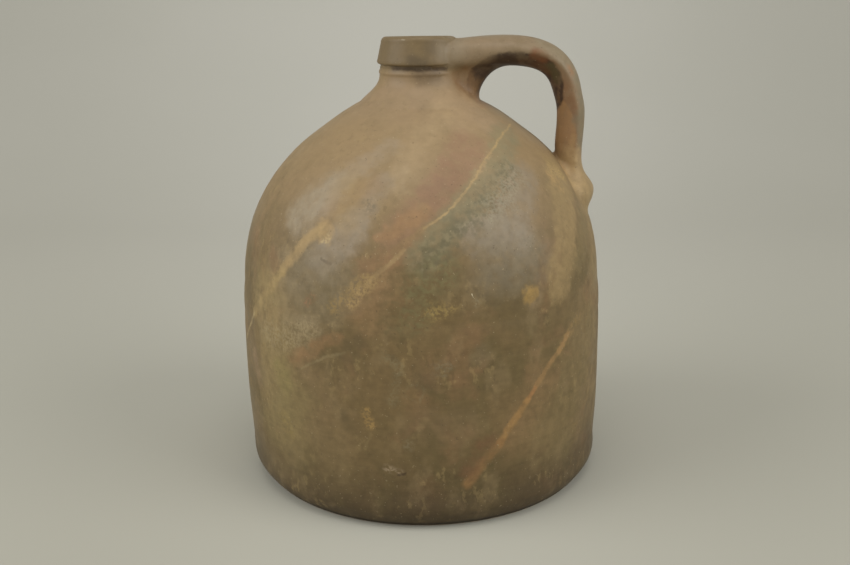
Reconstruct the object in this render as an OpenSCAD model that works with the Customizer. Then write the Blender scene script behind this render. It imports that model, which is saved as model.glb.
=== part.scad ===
// One-gallon stoneware jug with a strap handle from the mouth collar to the shoulder.
// The turning axis is Z, the jug stands on Z = 0, and the handle is on the +X side.

/* [Lower section] */
// Diameter of the belly, the widest part
belly_d = 198; // [190:1:210]
// Height of the widest part above the foot
belly_h = 55; // [40:1:75]
// How far the wall is drawn in from the belly where the rounded heel runs into it
heel_in = 1.8; // [0.5:0.1:4]
// Height of the rounded heel
heel_h = 16; // [8:1:24]
// How far the flat foot is drawn in from the top of the heel
foot_in = 6.7; // [3:0.1:10]
// Thickness of the thrown wall
wall = 7; // [5:0.5:9]
// Thickness of the floor
floor_t = 9; // [6:0.5:12]
// Radius of the corner between the floor and the wall, inside
floor_corner = 16; // [8:1:24]

/* [Seam between the two thrown sections] */
// Depth of the seam line outside below the start of the shoulder
seam_drop = 22; // [16:1:40]
// Height by which the lower rim laps inside the shoulder section
lap_h = 8; // [5:0.5:12]
// How far the lapped walls swell out over the seam
swell = 0.5; // [0:0.1:1.5]

/* [Shoulder and neck] */
// Height where the wall ends and the shoulder begins
wall_h = 118; // [114:1:130]
// How far the wall is drawn in from the belly where the shoulder begins
shoulder_in = 1.8; // [0.5:0.1:4]
// Rise of the shoulder from the wall to the foot of the neck
dome_h = 84.6; // [75:0.2:95]
// Length of the upright pull at the bottom of the shoulder curve
dome_start = 29; // [20:1:36]
// Length of the sloping pull at the top of the shoulder curve
dome_end = 45.6; // [36:0.2:52]
// Slope of the shoulder at the neck, in degrees from upright
dome_slope = 64; // [55:1:70]
// How far the foot of the neck flares out from the upright neck
neck_flare = 11.2; // [8:0.1:14]
// Rise of the curve from the shoulder into the neck
neck_curve_h = 14; // [10:1:18]
// Thickness of the upright neck's wall
neck_wall = 7.5; // [6:0.1:9]
// Height of the upright neck up to the collar
neck_h = 4.4; // [3:0.2:8]

/* [Mouth and collar] */
// Bore of the mouth, which takes a tapered cork
bore_d = 27; // [24:0.5:28]
// Rounding of the mouth's inner edge
mouth_edge = 2.5; // [1.5:0.1:3]
// Thickness of the spigot that the collar is pressed round
spigot_wall = 4; // [3:0.1:5]
// Height of the collar, from its undercut to the rim
collar_h = 15; // [12:0.5:18]
// How far the collar's lower edge stands out from the neck
collar_out = 1.4; // [1:0.1:3]
// How far the collar tapers in from its lower edge to its rounded top
collar_taper = 1.9; // [0:0.1:3]
// Height of the undercut groove below the collar
groove_h = 1.6; // [1:0.1:2.5]
// Radius of the collar's rounded lower edge
collar_lip = 1.2; // [0.8:0.1:1.8]
// Radius of the collar's rounded top edge
collar_round = 3; // [2:0.1:4]

/* [Handle] */
// Width of the strap at its root on the collar
strap_w = 28; // [24:0.5:32]
// Width of the strap down its leg
leg_w = 25; // [20:0.5:30]
// Thickness of the strap at its root
strap_t = 16.3; // [13:0.1:17]
// Thickness of the strap down its leg
leg_t = 14.6; // [11:0.2:16]
// Depth of the strap's crest below the rim, at its root
root_drop = 6.4; // [5:0.2:8]
// How far inside the leg's crest the arch pulls highest
arch_in = 18.8; // [14:0.2:26]
// Depth below the rim where the arch bends over
bend_drop = 6.5; // [3:0.5:12]
// How far the crest of the leg stays inside the belly's width
leg_in = 15.6; // [10:0.2:20]
// Depth below the rim where the leg is upright
leg_drop = 44.8; // [38:0.2:50]
// Length over which the leg stays upright below that
leg_run = 14; // [8:0.5:18]
// Depth below the rim where the leg comes in to the shoulder
foot_drop = 70.2; // [64:0.2:76]
// Depth below the rim of the tip of the pressed end
tip_drop = 92.5; // [86:0.5:98]
// How far the thumb-pressed end swells out above the strap's own thickness
press_t = 2.5; // [0:0.1:4]

/* [Luting wads] */
// Radius of the wad's hollow under the strap, against the neck
wad_hollow = 17.3; // [14:0.1:20]
// Distance from the neck's side to the centre of that hollow
wad_reach = 28.5; // [25:0.5:32]
// Width of the wad at its rounded edge
wad_w = 24; // [20:0.5:27]
// Thickness of the rounded edge of the wad
wad_t = 9; // [6:0.5:12]
// How much wider the wad spreads against the neck, on each side
wad_spread = 3; // [0:0.5:5]
// Depth of the flat seat under the strap, at its outer end
seat_cut = 1.6; // [1:0.1:3]
// Length of that seat out from the collar
seat_len = 24; // [18:0.5:26]
// Thickness of the luting pad between the strap's foot and the shoulder
pad_t = 1.2; // [0.8:0.1:2]
// Width of the luting pad
pad_w = 34; // [30:1:38]
// Height of the luting pad
pad_h = 38; // [36:1:44]
// Depth below the rim of the middle of the pad
pad_drop = 77.5; // [74:0.5:80]

/* [Lining] */
// Thickness of the glaze lining inside
glaze_t = 0.6; // [0.4:0.1:1.2]

/* [Hidden] */
$fn = 96;

// Heights worked up from the foot
seam_h = wall_h - seam_drop;
neck_foot_z = wall_h + dome_h;
neck_z = neck_foot_z + neck_curve_h;
seat_z = neck_z + neck_h;
rim_z = seat_z + collar_h;

// Radii
belly_r = belly_d / 2;
heel_r = belly_r - heel_in;
foot_r = heel_r - foot_in;
shoulder_r = belly_r - shoulder_in;
bore_r = bore_d / 2;
spigot_r = bore_r + spigot_wall;
neck_r = bore_r + neck_wall;
neck_foot_r = neck_r + neck_flare;
collar_r = neck_r + collar_out;
collar_top_r = collar_r - collar_taper;
leg_out = belly_r - leg_in;
arch_out = leg_out - arch_in;
wad_out = neck_r + wad_reach;

// Steps along each curve of the outline
heel_steps = 6;
wall_steps = 10;
dome_steps = 18;
neck_steps = 6;
edge_steps = 6;

// A point at share t along a cubic curve with four control points
function curve(p, t) = pow(1 - t, 3) * p[0] + 3 * pow(1 - t, 2) * t * p[1]
                       + 3 * (1 - t) * t * t * p[2] + pow(t, 3) * p[3];

// Points along a cubic curve, leaving out the first one
function curve_points(p, steps) = [for (i = [1 : steps]) curve(p, i / steps)];

// Points on an arc from angle a to angle b
function arc(centre, r, a, b, steps) =
    [for (i = [0 : steps]) let (q = a + (b - a) * i / steps) centre + r * [cos(q), sin(q)]];

// Direction of an outline at its point i
function along(p, i) = let (d = p[min(i + 1, len(p) - 1)] - p[max(i - 1, 0)]) d / norm(d);

// An outline moved sideways by d, to the left of its own direction
function offset_outline(p, d) = [for (i = [0 : len(p) - 1]) let (a = along(p, i)) p[i] + d * [-a[1], a[0]]];

function reversed(p) = [for (i = [len(p) - 1 : -1 : 0]) p[i]];

// The wall's outer radius at height z, a shallow barrel with a swell over the lapped seam
lap_top_z = seam_h + lap_h;
swell_z = (seam_h + lap_top_z) / 2;
function barrel_r(z) = z < belly_h
    ? belly_r - heel_in * pow((belly_h - z) / (belly_h - heel_h), 2)
    : belly_r - shoulder_in * pow((z - belly_h) / (wall_h - belly_h), 2);
function wall_r(z) = barrel_r(z) + swell * max(0, 1 - pow((z - swell_z) / lap_h, 2));

// Points up the wall from one height to another
function wall_points(low, high, steps) =
    [for (i = [0 : steps]) let (z = low + (high - low) * i / steps) [wall_r(z), z]];

// The heel: from the flat foot, leaving it at a slope, up into the wall
heel_low_shares = [0.45, 0.19];
heel_high_shares = [0.09, 0.5];
heel_curve = [[foot_r, 0],
              [foot_r + heel_low_shares[0] * foot_in, heel_low_shares[1] * heel_h],
              [heel_r - heel_high_shares[0] * foot_in, heel_high_shares[1] * heel_h],
              [heel_r, heel_h]];

// The shoulder: upright at the wall, sloping in to the foot of the neck
dome_dir = [sin(dome_slope), -cos(dome_slope)];
dome_lean_share = 0.07;
dome_curve = [[shoulder_r, wall_h],
              [shoulder_r - dome_lean_share * dome_start, wall_h + dome_start],
              [neck_foot_r, neck_foot_z] + dome_end * dome_dir,
              [neck_foot_r, neck_foot_z]];

// The hollow curve from the shoulder up into the neck
neck_low_shares = [0.33, 0.21];
neck_high_shares = [0.18, 0.4];
neck_curve = [[neck_foot_r, neck_foot_z],
              [neck_foot_r - neck_low_shares[0] * neck_flare,
               neck_foot_z + neck_low_shares[1] * neck_curve_h],
              [neck_r + neck_high_shares[0] * neck_flare,
               neck_z - neck_high_shares[1] * neck_curve_h],
              [neck_r, neck_z]];

// The outside of the jug from the seam to the collar's seat
shoulder_outline = concat(wall_points(seam_h, wall_h, wall_steps), curve_points(dome_curve, dome_steps),
                          curve_points(neck_curve, neck_steps), [[neck_r, seat_z]]);

// The inside of the jug: floor, corner, wall, shoulder, throat
corner_z = floor_t + floor_corner;
corner_r = wall_r(corner_z) - wall - floor_corner;
inner_dome = offset_outline(concat([[shoulder_r, wall_h]], curve_points(dome_curve, dome_steps)), wall);
throat_from = inner_dome[len(inner_dome) - 1];
throat_share = 0.5;
throat_z = throat_from[1] + (throat_from[0] - bore_r) * throat_share;
throat_curve = [throat_from, throat_from - throat_share * (throat_from[0] - bore_r) * dome_dir,
                [bore_r, throat_z - (throat_z - throat_from[1]) * throat_share], [bore_r, throat_z]];
low_wall = [for (p = wall_points(corner_z, lap_top_z, wall_steps)) if (p[1] > corner_z) p - [wall, 0]];
high_wall = [for (p = wall_points(lap_top_z, wall_h, edge_steps)) if (p[1] < wall_h) p - [wall, 0]];
lower_inside = concat([[0, floor_t]], arc([corner_r, corner_z], floor_corner, -90, 0, edge_steps), low_wall);
upper_inside = concat(high_wall, inner_dome, curve_points(throat_curve, neck_steps));

// Radius of the lap, halfway through the wall
lap_r = wall_r(seam_h) - wall / 2;

// The collar's outline from its seat, round the groove, up the taper and over the top
groove_r = neck_r - collar_lip / 3;
collar_low_z = seat_z + groove_h;
collar_edge = arc([collar_r - collar_lip, collar_low_z + collar_lip], collar_lip, -90, 0, edge_steps);
collar_top = arc([collar_top_r - collar_round, rim_z - collar_round], collar_round, 0, 90, edge_steps);
collar_side = concat([[groove_r, seat_z], [groove_r, collar_low_z]], collar_edge, collar_top);

// A solid of the jug's outside below the collar, grown by d, to cut what is luted onto it
module outside(d) {
    low_z = wall_h - lap_h;
    rotate_extrude()
        polygon(concat([[0, low_z]],
                       offset_outline(concat(wall_points(low_z, wall_h, edge_steps),
                                             curve_points(dome_curve, dome_steps),
                                             curve_points(neck_curve, neck_steps), [[neck_r, seat_z]]), -d),
                       [[0, seat_z]]));
}

// The same for the collar
module collar_outside() {
    rotate_extrude()
        polygon(concat([[0, seat_z]], collar_side, [[0, rim_z]]));
}

// The share along a curve at which its coordinate k reaches v
function share_at(p, k, v, low = 0, high = 1, n = 24) = n == 0 ? (low + high) / 2
    : let (m = (low + high) / 2) (curve(p, m)[k] < v ? share_at(p, k, v, m, high, n - 1)
                                                     : share_at(p, k, v, low, m, n - 1));
function on_shoulder(drop) = curve(dome_curve, share_at(dome_curve, 1, rim_z - drop));

// The crest of the strap, in the plane of the handle: out over the arch, then down to the shoulder
arch_curve = [[spigot_r, rim_z - root_drop], [arch_out, rim_z], [leg_out, rim_z - bend_drop],
              [leg_out, rim_z - leg_drop]];
leg_curve = [[leg_out, rim_z - leg_drop], [leg_out, rim_z - leg_drop - leg_run], on_shoulder(foot_drop),
             on_shoulder(tip_drop) + [pad_t, 0]];
arch_rings = 20;
leg_rings = 18;
ring_sides = 20;
crest = concat([arch_curve[0]], curve_points(arch_curve, arch_rings), curve_points(leg_curve, leg_rings));

// Share of the strap's thickness outside its crest, and shares of the leg for its pressed end
crest_share = 0.3;
tip_share = 0.8;
tip_close_share = 0.96;
press_spread_share = 0.16;

// One cross-section of the strap: a flat dome outside the crest, a deeper one inside
function strap_ring(i) =
    let (c = crest[i],
         a = along(crest, i),
         arch = min(1, i / arch_rings),
         leg = max(0, (i - arch_rings) / leg_rings),
         tip = sqrt(1 - pow(tip_close_share * max(0, leg - tip_share) / (1 - tip_share), 2)),
         press = leg == 0 ? 0 : press_t * exp(-pow((leg - tip_share) / press_spread_share, 2)),
         w = (strap_w + (leg_w - strap_w) * arch) * tip,
         t = (strap_t + (leg_t - strap_t) * arch) * tip,
         out = t * crest_share + press * tip,
         in = t * (1 - crest_share))
    [for (j = [0 : ring_sides - 1])
        let (q = 360 * j / ring_sides, p = c + sin(q) * (sin(q) > 0 ? out : in) * [-a[1], a[0]])
        [p[0], w / 2 * cos(q), p[1]]];

module strap_solid() {
    rings = len(crest);
    points = [for (i = [0 : rings - 1]) each strap_ring(i)];
    sides = [for (i = [0 : rings - 2]) for (j = [0 : ring_sides - 1])
        let (a = i * ring_sides + j, b = i * ring_sides + (j + 1) % ring_sides)
        each [[a, b, b + ring_sides], [a, b + ring_sides, a + ring_sides]]];
    first = [for (j = [ring_sides - 1 : -1 : 0]) j];
    last = [for (j = [0 : ring_sides - 1]) (rings - 1) * ring_sides + j];
    polyhedron(points, concat(sides, [first, last]), convexity = 6);
}

// The underside of the strap over the wad, and the flat seat cut into it
wad_top_z = curve(arch_curve, share_at(arch_curve, 0, wad_out))[1] - strap_t * (1 - crest_share);
strap_seat_z = wad_top_z + seat_cut;
seat_out = collar_r + seat_len;
module below_seat() {
    translate([0, -strap_w, strap_seat_z - collar_h])
        cube([seat_out, 2 * strap_w, collar_h]);
}

// Floor and wall, thrown in one, with the inner half of the rim raised as a lap
module lower_section() {
    color("#7a6a4c")
        rotate_extrude()
            polygon(concat([[0, 0], [foot_r, 0]], curve_points(heel_curve, heel_steps),
                           [for (p = wall_points(heel_h, seam_h, wall_steps)) if (p[1] > heel_h) p],
                           [[lap_r, seam_h], [lap_r, lap_top_z]], reversed(lower_inside)));
}

// Shoulder, neck and spigot, thrown in one, with the outer half of the rim lowered over the lap
module shoulder_section() {
    color("#8a7556")
        rotate_extrude()
            polygon(concat([[lap_r, seam_h]], shoulder_outline, [[spigot_r, seat_z], [spigot_r, rim_z]],
                           arc([bore_r + mouth_edge, rim_z - mouth_edge], mouth_edge, 90, 180, edge_steps),
                           reversed(upper_inside), [[lap_r, lap_top_z]]));
}

// The ring of clay round the mouth, tapered, round on top and undercut below
module lip_collar() {
    color("#71624c")
        rotate_extrude()
            polygon(concat([[spigot_r, seat_z]], collar_side, [[spigot_r, rim_z]]));
}

// The pulled strap, fitted to the collar and to the pad on the shoulder
module handle_strap() {
    color("#775c43")
        difference() {
            strap_solid();
            collar_outside();
            outside(pad_t);
            below_seat();
        }
}

// The clay pressed between the strap's root and the neck, hollowed round for the finger
module upper_luting_wad() {
    neck_side = wad_out - bore_r;
    edge = [for (i = [0 : 2 * edge_steps]) let (q = 90 + 90 * i / edge_steps)
        [wad_hollow + wad_t + wad_t * cos(q), wad_w / 2 * sin(q)]];
    color("#6f5238")
        difference() {
            intersection() {
                translate([wad_out, 0, wad_top_z - wad_hollow])
                    rotate([90, 0, 0])
                        rotate([0, 0, 90])
                            rotate_extrude(angle = 110)
                                polygon(concat(edge, [[neck_side, -wad_w / 2 - wad_spread],
                                                      [neck_side, wad_w / 2 + wad_spread]]));
                translate([0, -strap_w, 0])
                    cube([seat_out, 2 * strap_w, strap_seat_z]);
            }
            collar_outside();
            outside(0);
        }
}

// The pad of luting clay between the foot of the strap and the shoulder, square with round corners
module lower_luting_pad() {
    mid = on_shoulder(pad_drop);
    sides = 2 * ring_sides;
    color("#8d7448")
        difference() {
            intersection() {
                outside(pad_t);
                translate([mid[0], 0, mid[1]])
                    rotate([0, 90, 0])
                        linear_extrude(height = pad_h, center = true)
                            polygon([for (i = [0 : sides - 1]) let (q = 360 * i / sides)
                                [pad_h / 2 * sign(cos(q)) * sqrt(abs(cos(q))),
                                 pad_w / 2 * sign(sin(q)) * sqrt(abs(sin(q)))]]);
            }
            outside(0);
        }
}

// The glaze poured inside, from the floor up to just below the bore
module inner_glaze() {
    inside = concat(lower_inside, [for (i = [1 : len(upper_inside) - 3]) upper_inside[i]]);
    color("#4a3526")
        rotate_extrude()
            polygon(concat(inside, reversed(offset_outline(inside, glaze_t))));
}

lower_section();
shoulder_section();
lip_collar();
handle_strap();
upper_luting_wad();
lower_luting_pad();
inner_glaze();
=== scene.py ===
import math
import bpy
import numpy as np
from mathutils import Matrix, Vector, kdtree


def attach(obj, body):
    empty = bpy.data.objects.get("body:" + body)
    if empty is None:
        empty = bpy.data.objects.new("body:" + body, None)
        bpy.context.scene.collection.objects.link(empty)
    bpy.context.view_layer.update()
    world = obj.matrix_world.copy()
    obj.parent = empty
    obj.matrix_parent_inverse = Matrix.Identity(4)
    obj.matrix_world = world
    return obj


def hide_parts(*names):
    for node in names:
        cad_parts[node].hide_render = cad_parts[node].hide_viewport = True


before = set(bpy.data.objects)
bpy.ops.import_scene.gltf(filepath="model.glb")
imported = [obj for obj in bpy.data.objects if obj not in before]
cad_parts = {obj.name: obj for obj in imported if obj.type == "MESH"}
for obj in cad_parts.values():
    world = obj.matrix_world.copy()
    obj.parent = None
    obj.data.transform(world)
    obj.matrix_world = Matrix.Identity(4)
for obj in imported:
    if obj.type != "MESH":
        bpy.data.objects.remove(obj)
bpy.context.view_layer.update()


# Camera
# It stands 591 mm in front of the jug's axis and 274 mm above the shelf, looks down by 16.3 degrees,
# and leans 0.6 degrees to the side, as the jug leans in the photograph.
mm = 0.001
camera_place = (1.74 * mm, -591.4 * mm, 274.2 * mm)
camera_down, camera_lean = 16.278, -0.621
sensor_wide, photo_wide, focal_length = 36, 850, 1100
bpy.ops.object.camera_add(location=camera_place)
camera = bpy.context.object
camera.name = "camera"
camera.rotation_mode = "QUATERNION"
look_down = Matrix.Rotation(math.radians(90 - camera_down), 4, "X")
lean = Matrix.Rotation(math.radians(camera_lean), 4, "Z")
camera.rotation_quaternion = (look_down @ lean).to_quaternion()
camera.data.sensor_width = sensor_wide
camera.data.lens = sensor_wide * focal_length / photo_wide
camera.data.clip_start = 0.01
bpy.context.scene.camera = camera
bpy.context.scene.view_settings.view_transform = "Standard"


# Lower section
# The floor and the straight wall, thrown in one piece from stoneware clay. Its rim is cut back to a
# lap, which the shoulder section sits over. The wall carries the potter's finger rings and the slip.
wall = 7.0
floor_h = 9.0
foot_r = 90.5
heel_r = 97.2
heel_h = 16.0
belly_r = 99.0
belly_z = 55.0
belly_draw_in = 1.8
seam_z = 96.0
seam_swell = 0.5
seam_swell_z = 100.0
seam_swell_half = 8.0
lap_top = 104.0
lap_r = 94.998
wall_top = 118.0
inner_corner_r = 16.0
inner_corner_x = 74.933
inner_corner_z = 25.0
ring_step = 2.0
turns = 192


def curve_through(p, steps):
    """Points along a cubic curve with four control points, in millimetres."""
    t = np.linspace(0, 1, steps + 1)[:, None]
    p = np.array(p, float)
    return (1 - t) ** 3 * p[0] + 3 * (1 - t) ** 2 * t * p[1] + 3 * (1 - t) * t * t * p[2] + t ** 3 * p[3]


def wall_radius(z):
    """The wall's outer radius: a shallow barrel with a low swell over the lapped seam."""
    z = np.asarray(z, float)
    off_belly = np.where(z < belly_z, (belly_z - z) / (belly_z - heel_h),
                         (z - belly_z) / (wall_top - belly_z))
    barrel = belly_r - belly_draw_in * off_belly ** 2
    return barrel + seam_swell * np.maximum(0, 1 - ((z - seam_swell_z) / seam_swell_half) ** 2)


def wall_line(low, high):
    """Points up the wall from one height to another."""
    z = np.linspace(low, high, max(2, int(round(abs(high - low) / ring_step)) + 1))
    return np.stack([wall_radius(z), z], 1)


def thrown(name, outline, sweep=360, steps=turns, centre=(0, 0, 0), axis=(0, 0, 1)):
    """Draws half a section as a line of edges and turns it round the wheel, or round part of a turn."""
    if bpy.context.mode != "OBJECT":
        bpy.ops.object.mode_set(mode="OBJECT")
    bpy.ops.object.select_all(action="DESELECT")
    points = [(p[0] * mm, (p[1] if len(p) == 3 else 0) * mm, p[-1] * mm) for p in outline]
    bpy.ops.mesh.primitive_plane_add(size=0.001, location=points[0])
    piece = bpy.context.object
    piece.name = name
    piece.data.name = name
    bpy.ops.object.transform_apply(location=True, rotation=True, scale=True)
    bpy.ops.object.mode_set(mode="EDIT")
    bpy.ops.mesh.select_mode(type="VERT")
    bpy.ops.mesh.select_all(action="SELECT")
    bpy.ops.mesh.merge(type="CENTER")
    for a, b in zip(points, points[1:]):
        bpy.ops.mesh.extrude_region_move(
            TRANSFORM_OT_translate={"value": (b[0] - a[0], b[1] - a[1], b[2] - a[2])})
    bpy.ops.mesh.select_all(action="SELECT")
    if sweep < 360:
        bpy.ops.mesh.remove_doubles(threshold=0.00002)
        bpy.ops.mesh.edge_face_add()
    bpy.ops.mesh.spin(steps=steps, angle=math.radians(sweep), axis=axis,
                      center=tuple(c * mm for c in centre))
    bpy.ops.mesh.select_all(action="SELECT")
    bpy.ops.mesh.remove_doubles(threshold=0.00002)
    bpy.ops.mesh.normals_make_consistent(inside=False)
    bpy.ops.object.mode_set(mode="OBJECT")
    return piece


def places(piece):
    """The places of a piece's vertices, in millimetres."""
    flat = np.zeros(len(piece.data.vertices) * 3, np.float32)
    piece.data.vertices.foreach_get("co", flat)
    return flat.reshape(-1, 3).astype(float) * 1000


def move_to(piece, co):
    """Puts a piece's vertices at these places, in millimetres."""
    piece.data.vertices.foreach_set("co", (co / 1000).astype(np.float32).ravel())
    piece.data.update()


def bump(x, at, width):
    """A smooth hump of height 1 at a place."""
    return np.exp(-((x - at) / width) ** 2)


def eased(table):
    """A table of heights and amounts with its corners rounded off."""
    z = np.arange(-20, 260.0)
    rough = np.interp(z, *np.array(table, float).T)
    soft = np.exp(-(np.arange(-12, 13) / 5) ** 2)
    return z, np.convolve(np.pad(rough, 12, mode="edge"), soft / soft.sum(), mode="valid")


# The jug's outside from foot to rim, as radii and heights, then how far the clay leans towards the
# handle and how far it swells at each height.
outer_line = np.array([
    (90.5, 0), (93, 3), (94.7, 6), (96.2, 10), (97.2, 16), (98.3, 30), (99, 55), (98.7, 80), (98.4, 92),
    (98.6, 96), (98.6, 100), (98.3, 104), (97.7, 108), (97.2, 118), (96.5, 124), (95.3, 130), (93.6, 136),
    (91.4, 142), (88.7, 148), (85.6, 154), (81.9, 160), (78.3, 165), (74.4, 170), (69.9, 175), (64.9, 180),
    (60.1, 184), (54.8, 188), (49.3, 192), (43.7, 196), (38.9, 199), (32.2, 202.6), (29.6, 205), (27.2, 207),
    (25.1, 209), (23.4, 211), (22.1, 213), (21.2, 216.6), (21.5, 218.4), (20.8, 220.4), (20.8, 222),
    (22.4, 223.5), (22.2, 226), (20.9, 231), (20.3, 234.3), (18.5, 235.8)])
hand_lean = eased([
    (0, 1.0), (6, 0.7), (14, -0.1), (32, 0), (46, -0.2), (70, -0.4), (100, -0.4), (116, -0.45), (136, -0.1),
    (165, 0.1), (172, 0.3), (185, 0.35), (194, 0.5), (200, 0.9), (206, -0.5), (212, 0)])
hand_swell = eased([
    (0, -0.9), (3, -0.5), (9, 1.2), (13, 0.4), (18, -0.6), (30, -0.65), (50, -0.55), (75, -0.3), (88, -0.1),
    (100, -0.6), (112, -0.5), (124, -0.8), (133, -0.5), (142, 0), (156, 0.35), (170, 0.6), (178, 0.45),
    (187, 0.15), (196, 0.1), (202, 0)])
# Finger rings: gap, depth, then how far, how slowly and from where they wander.
finger_rings = ((7.3, 0.022, 0.6, 0.11, 0), (4.1, 0.015, 1.1, 0.07, 2))
# Flats round the wall: how many, depth, how they twist with the height, and where they start.
finger_flats = ((3, 0.16, 0.02, 0.7), (5, 0.12, -0.035, 0), (8, 0.10, 0.05, 1.9))
heel_forward = 1.2
mouth_tilt = 0.055
mouth_low_z = 226.0
mouth_low_side = math.radians(66)
root_dip = 0.9


def from_the_wheel(co):
    """What hands and wheel leave in the clay: rings, flats, a lean, and a mouth that dips."""
    x, y, z = co[:, 0], co[:, 1], co[:, 2]
    r = np.hypot(x, y)
    turn = np.arctan2(x, -y)
    rings = sum(depth * np.sin(z * math.tau / gap + turn + far * np.sin(z * slow + start))
                for gap, depth, far, slow, start in finger_rings)
    rings *= np.clip((200 - z) / 20, 0, 1) * np.clip((r - 50) / 20, 0, 1)
    flats = sum(depth * np.cos(count * turn + z * twist + start)
                for count, depth, twist, start in finger_flats)
    flats *= np.clip((196 - z) / 40, 0, 1) * np.clip(z / 5, 0, 1) * np.clip(r / 80, 0, 1)
    off_skin = np.maximum(0, r - np.interp(z, outer_line[:, 1], outer_line[:, 0]) - 1)
    swell = np.interp(z, *hand_swell) * np.exp(-(off_skin / 5) ** 2) * np.clip(r / 30, 0, 1)
    scale = np.where(r > 1, (r + rings + flats + swell) / np.maximum(r, 1), 1)
    off_axis = np.clip(r / 40, 0, 1)
    out = co.copy()
    out[:, 0] = x * scale + np.interp(z, *hand_lean) * off_axis
    out[:, 1] = y * scale - heel_forward * np.clip(1 - z / 14, 0, 1) * off_axis
    dip = mouth_tilt * y - 0.45 + root_dip * bump(turn, mouth_low_side, 0.45)
    out[:, 2] -= dip * np.clip((z - mouth_low_z) / 8, 0, 1) * np.clip((32 - r) / 9, 0, 1)
    return out


heel_out = heel_r - foot_r
heel = curve_through([(foot_r, 0), (foot_r + 0.45 * heel_out, 0.19 * heel_h),
                      (heel_r - 0.09 * heel_out, 0.5 * heel_h), (heel_r, heel_h)], 14)
corner = [(inner_corner_x + inner_corner_r * math.cos(math.radians(a)),
           inner_corner_z + inner_corner_r * math.sin(math.radians(a))) for a in range(0, -91, -9)]
inner_wall = [(r - wall, z) for r, z in wall_line(lap_top, inner_corner_z + ring_step)]
floor_rings = [(r, floor_h) for r in (60, 40, 20, 0)]
foot_rings = [(r, 0.0) for r in (0, 22, 44, 66, 84, 88)]
lower = thrown("lower_section_thrown", foot_rings + list(heel) + list(wall_line(heel_h, seam_z)[1:])
               + [(lap_r, seam_z), (lap_r, lap_top)] + inner_wall + corner + floor_rings)
move_to(lower, from_the_wheel(places(lower)))


def fired(colour):
    """A colour written as it shows on the fired slip, 0 to 255, as a colour for a shader."""
    c = np.array(colour, float) / 255
    return tuple(np.where(c <= 0.04045, c / 12.92, ((c + 0.055) / 1.055) ** 2.4)) + (1,)


def laid(tree, kind, inputs, **settings):
    """Adds one node of a finish, sets it up, and gives its first output."""
    node = tree.nodes.new("ShaderNode" + kind)
    for name, value in settings.items():
        setattr(node, name, value)
    for name, value in inputs.items():
        if isinstance(value, bpy.types.NodeSocket):
            tree.links.new(value, node.inputs[name])
        else:
            node.inputs[name].default_value = value
    return node.outputs[0]


def worked_out(tree, operation, *values):
    """One sum on numbers."""
    return laid(tree, "Math", dict(enumerate(values)), operation=operation)


def shifted(tree, operation, *values):
    """One sum on places."""
    return laid(tree, "VectorMath", dict(enumerate(values)), operation=operation)


def cloud(tree, place, size, detail=2.0, colour=False):
    """Soft clouds of a size in millimetres, from 0 to 1, or as three of them."""
    out = laid(tree, "TexNoise", {"Vector": place, "Scale": 1 / size, "Detail": detail,
                                  "Roughness": 0.55})
    return out.node.outputs[1] if colour else out


def between(tree, value, low, high, out_low=0.0, out_high=1.0):
    """A soft step from one level to another."""
    return laid(tree, "MapRange", {0: value, 1: low, 2: high, 3: out_low, 4: out_high},
                interpolation_type="SMOOTHSTEP")


def over(tree, under, colour, amount):
    """Lays a colour over another."""
    return laid(tree, "MixRGB", {"Fac": amount, "Color1": under, "Color2": colour})


def run_along_trail(tree, place, trail, reach, soft):
    """How strongly a run of slip, painted shade or painted highlight along a trail of places shows, from 0
    to 1.
    """
    nearest = None
    for a, b in zip(trail, trail[1:] or trail):
        a, b = Vector(a), Vector(b)
        away = shifted(tree, "SUBTRACT", place, tuple(a))
        if (b - a).length > 0.01:
            share = laid(tree, "VectorMath", {0: away, 1: tuple((b - a) / (b - a).length_squared)},
                         operation="DOT_PRODUCT").node.outputs[1]
            share = laid(tree, "Clamp", {0: share})
            back = laid(tree, "VectorMath", {0: tuple(a - b), 3: share}, operation="SCALE")
            away = shifted(tree, "ADD", away, back)
        length = laid(tree, "VectorMath", {0: away}, operation="LENGTH").node.outputs[1]
        nearest = length if nearest is None else worked_out(tree, "MINIMUM", nearest, length)
    return between(tree, nearest, reach * (1 - soft), reach * (1 + soft), 1.0, 0.0)


def on_jug(marks, step=60):
    """Places on the jug's outside, from degrees round (0 in front, 90 at the handle) and heights."""
    trail = []
    for a, b in zip(marks, marks[1:] or marks):
        parts = max(1, math.ceil(abs(b[0] - a[0]) / step))
        trail += [(a[0] + (b[0] - a[0]) * k / parts, a[1] + (b[1] - a[1]) * k / parts)
                  for k in range(parts)]
    turned = []
    for turn, z in trail + [marks[-1]]:
        r = float(np.interp(z, outer_line[:, 1], outer_line[:, 0]))
        turned.append((r * math.sin(math.radians(turn)), -r * math.cos(math.radians(turn)), z))
    turned = [tuple(float(v) for v in spot) for spot in from_the_wheel(np.array(turned))]
    return turned if len(marks) > 1 else turned[:1]


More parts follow.
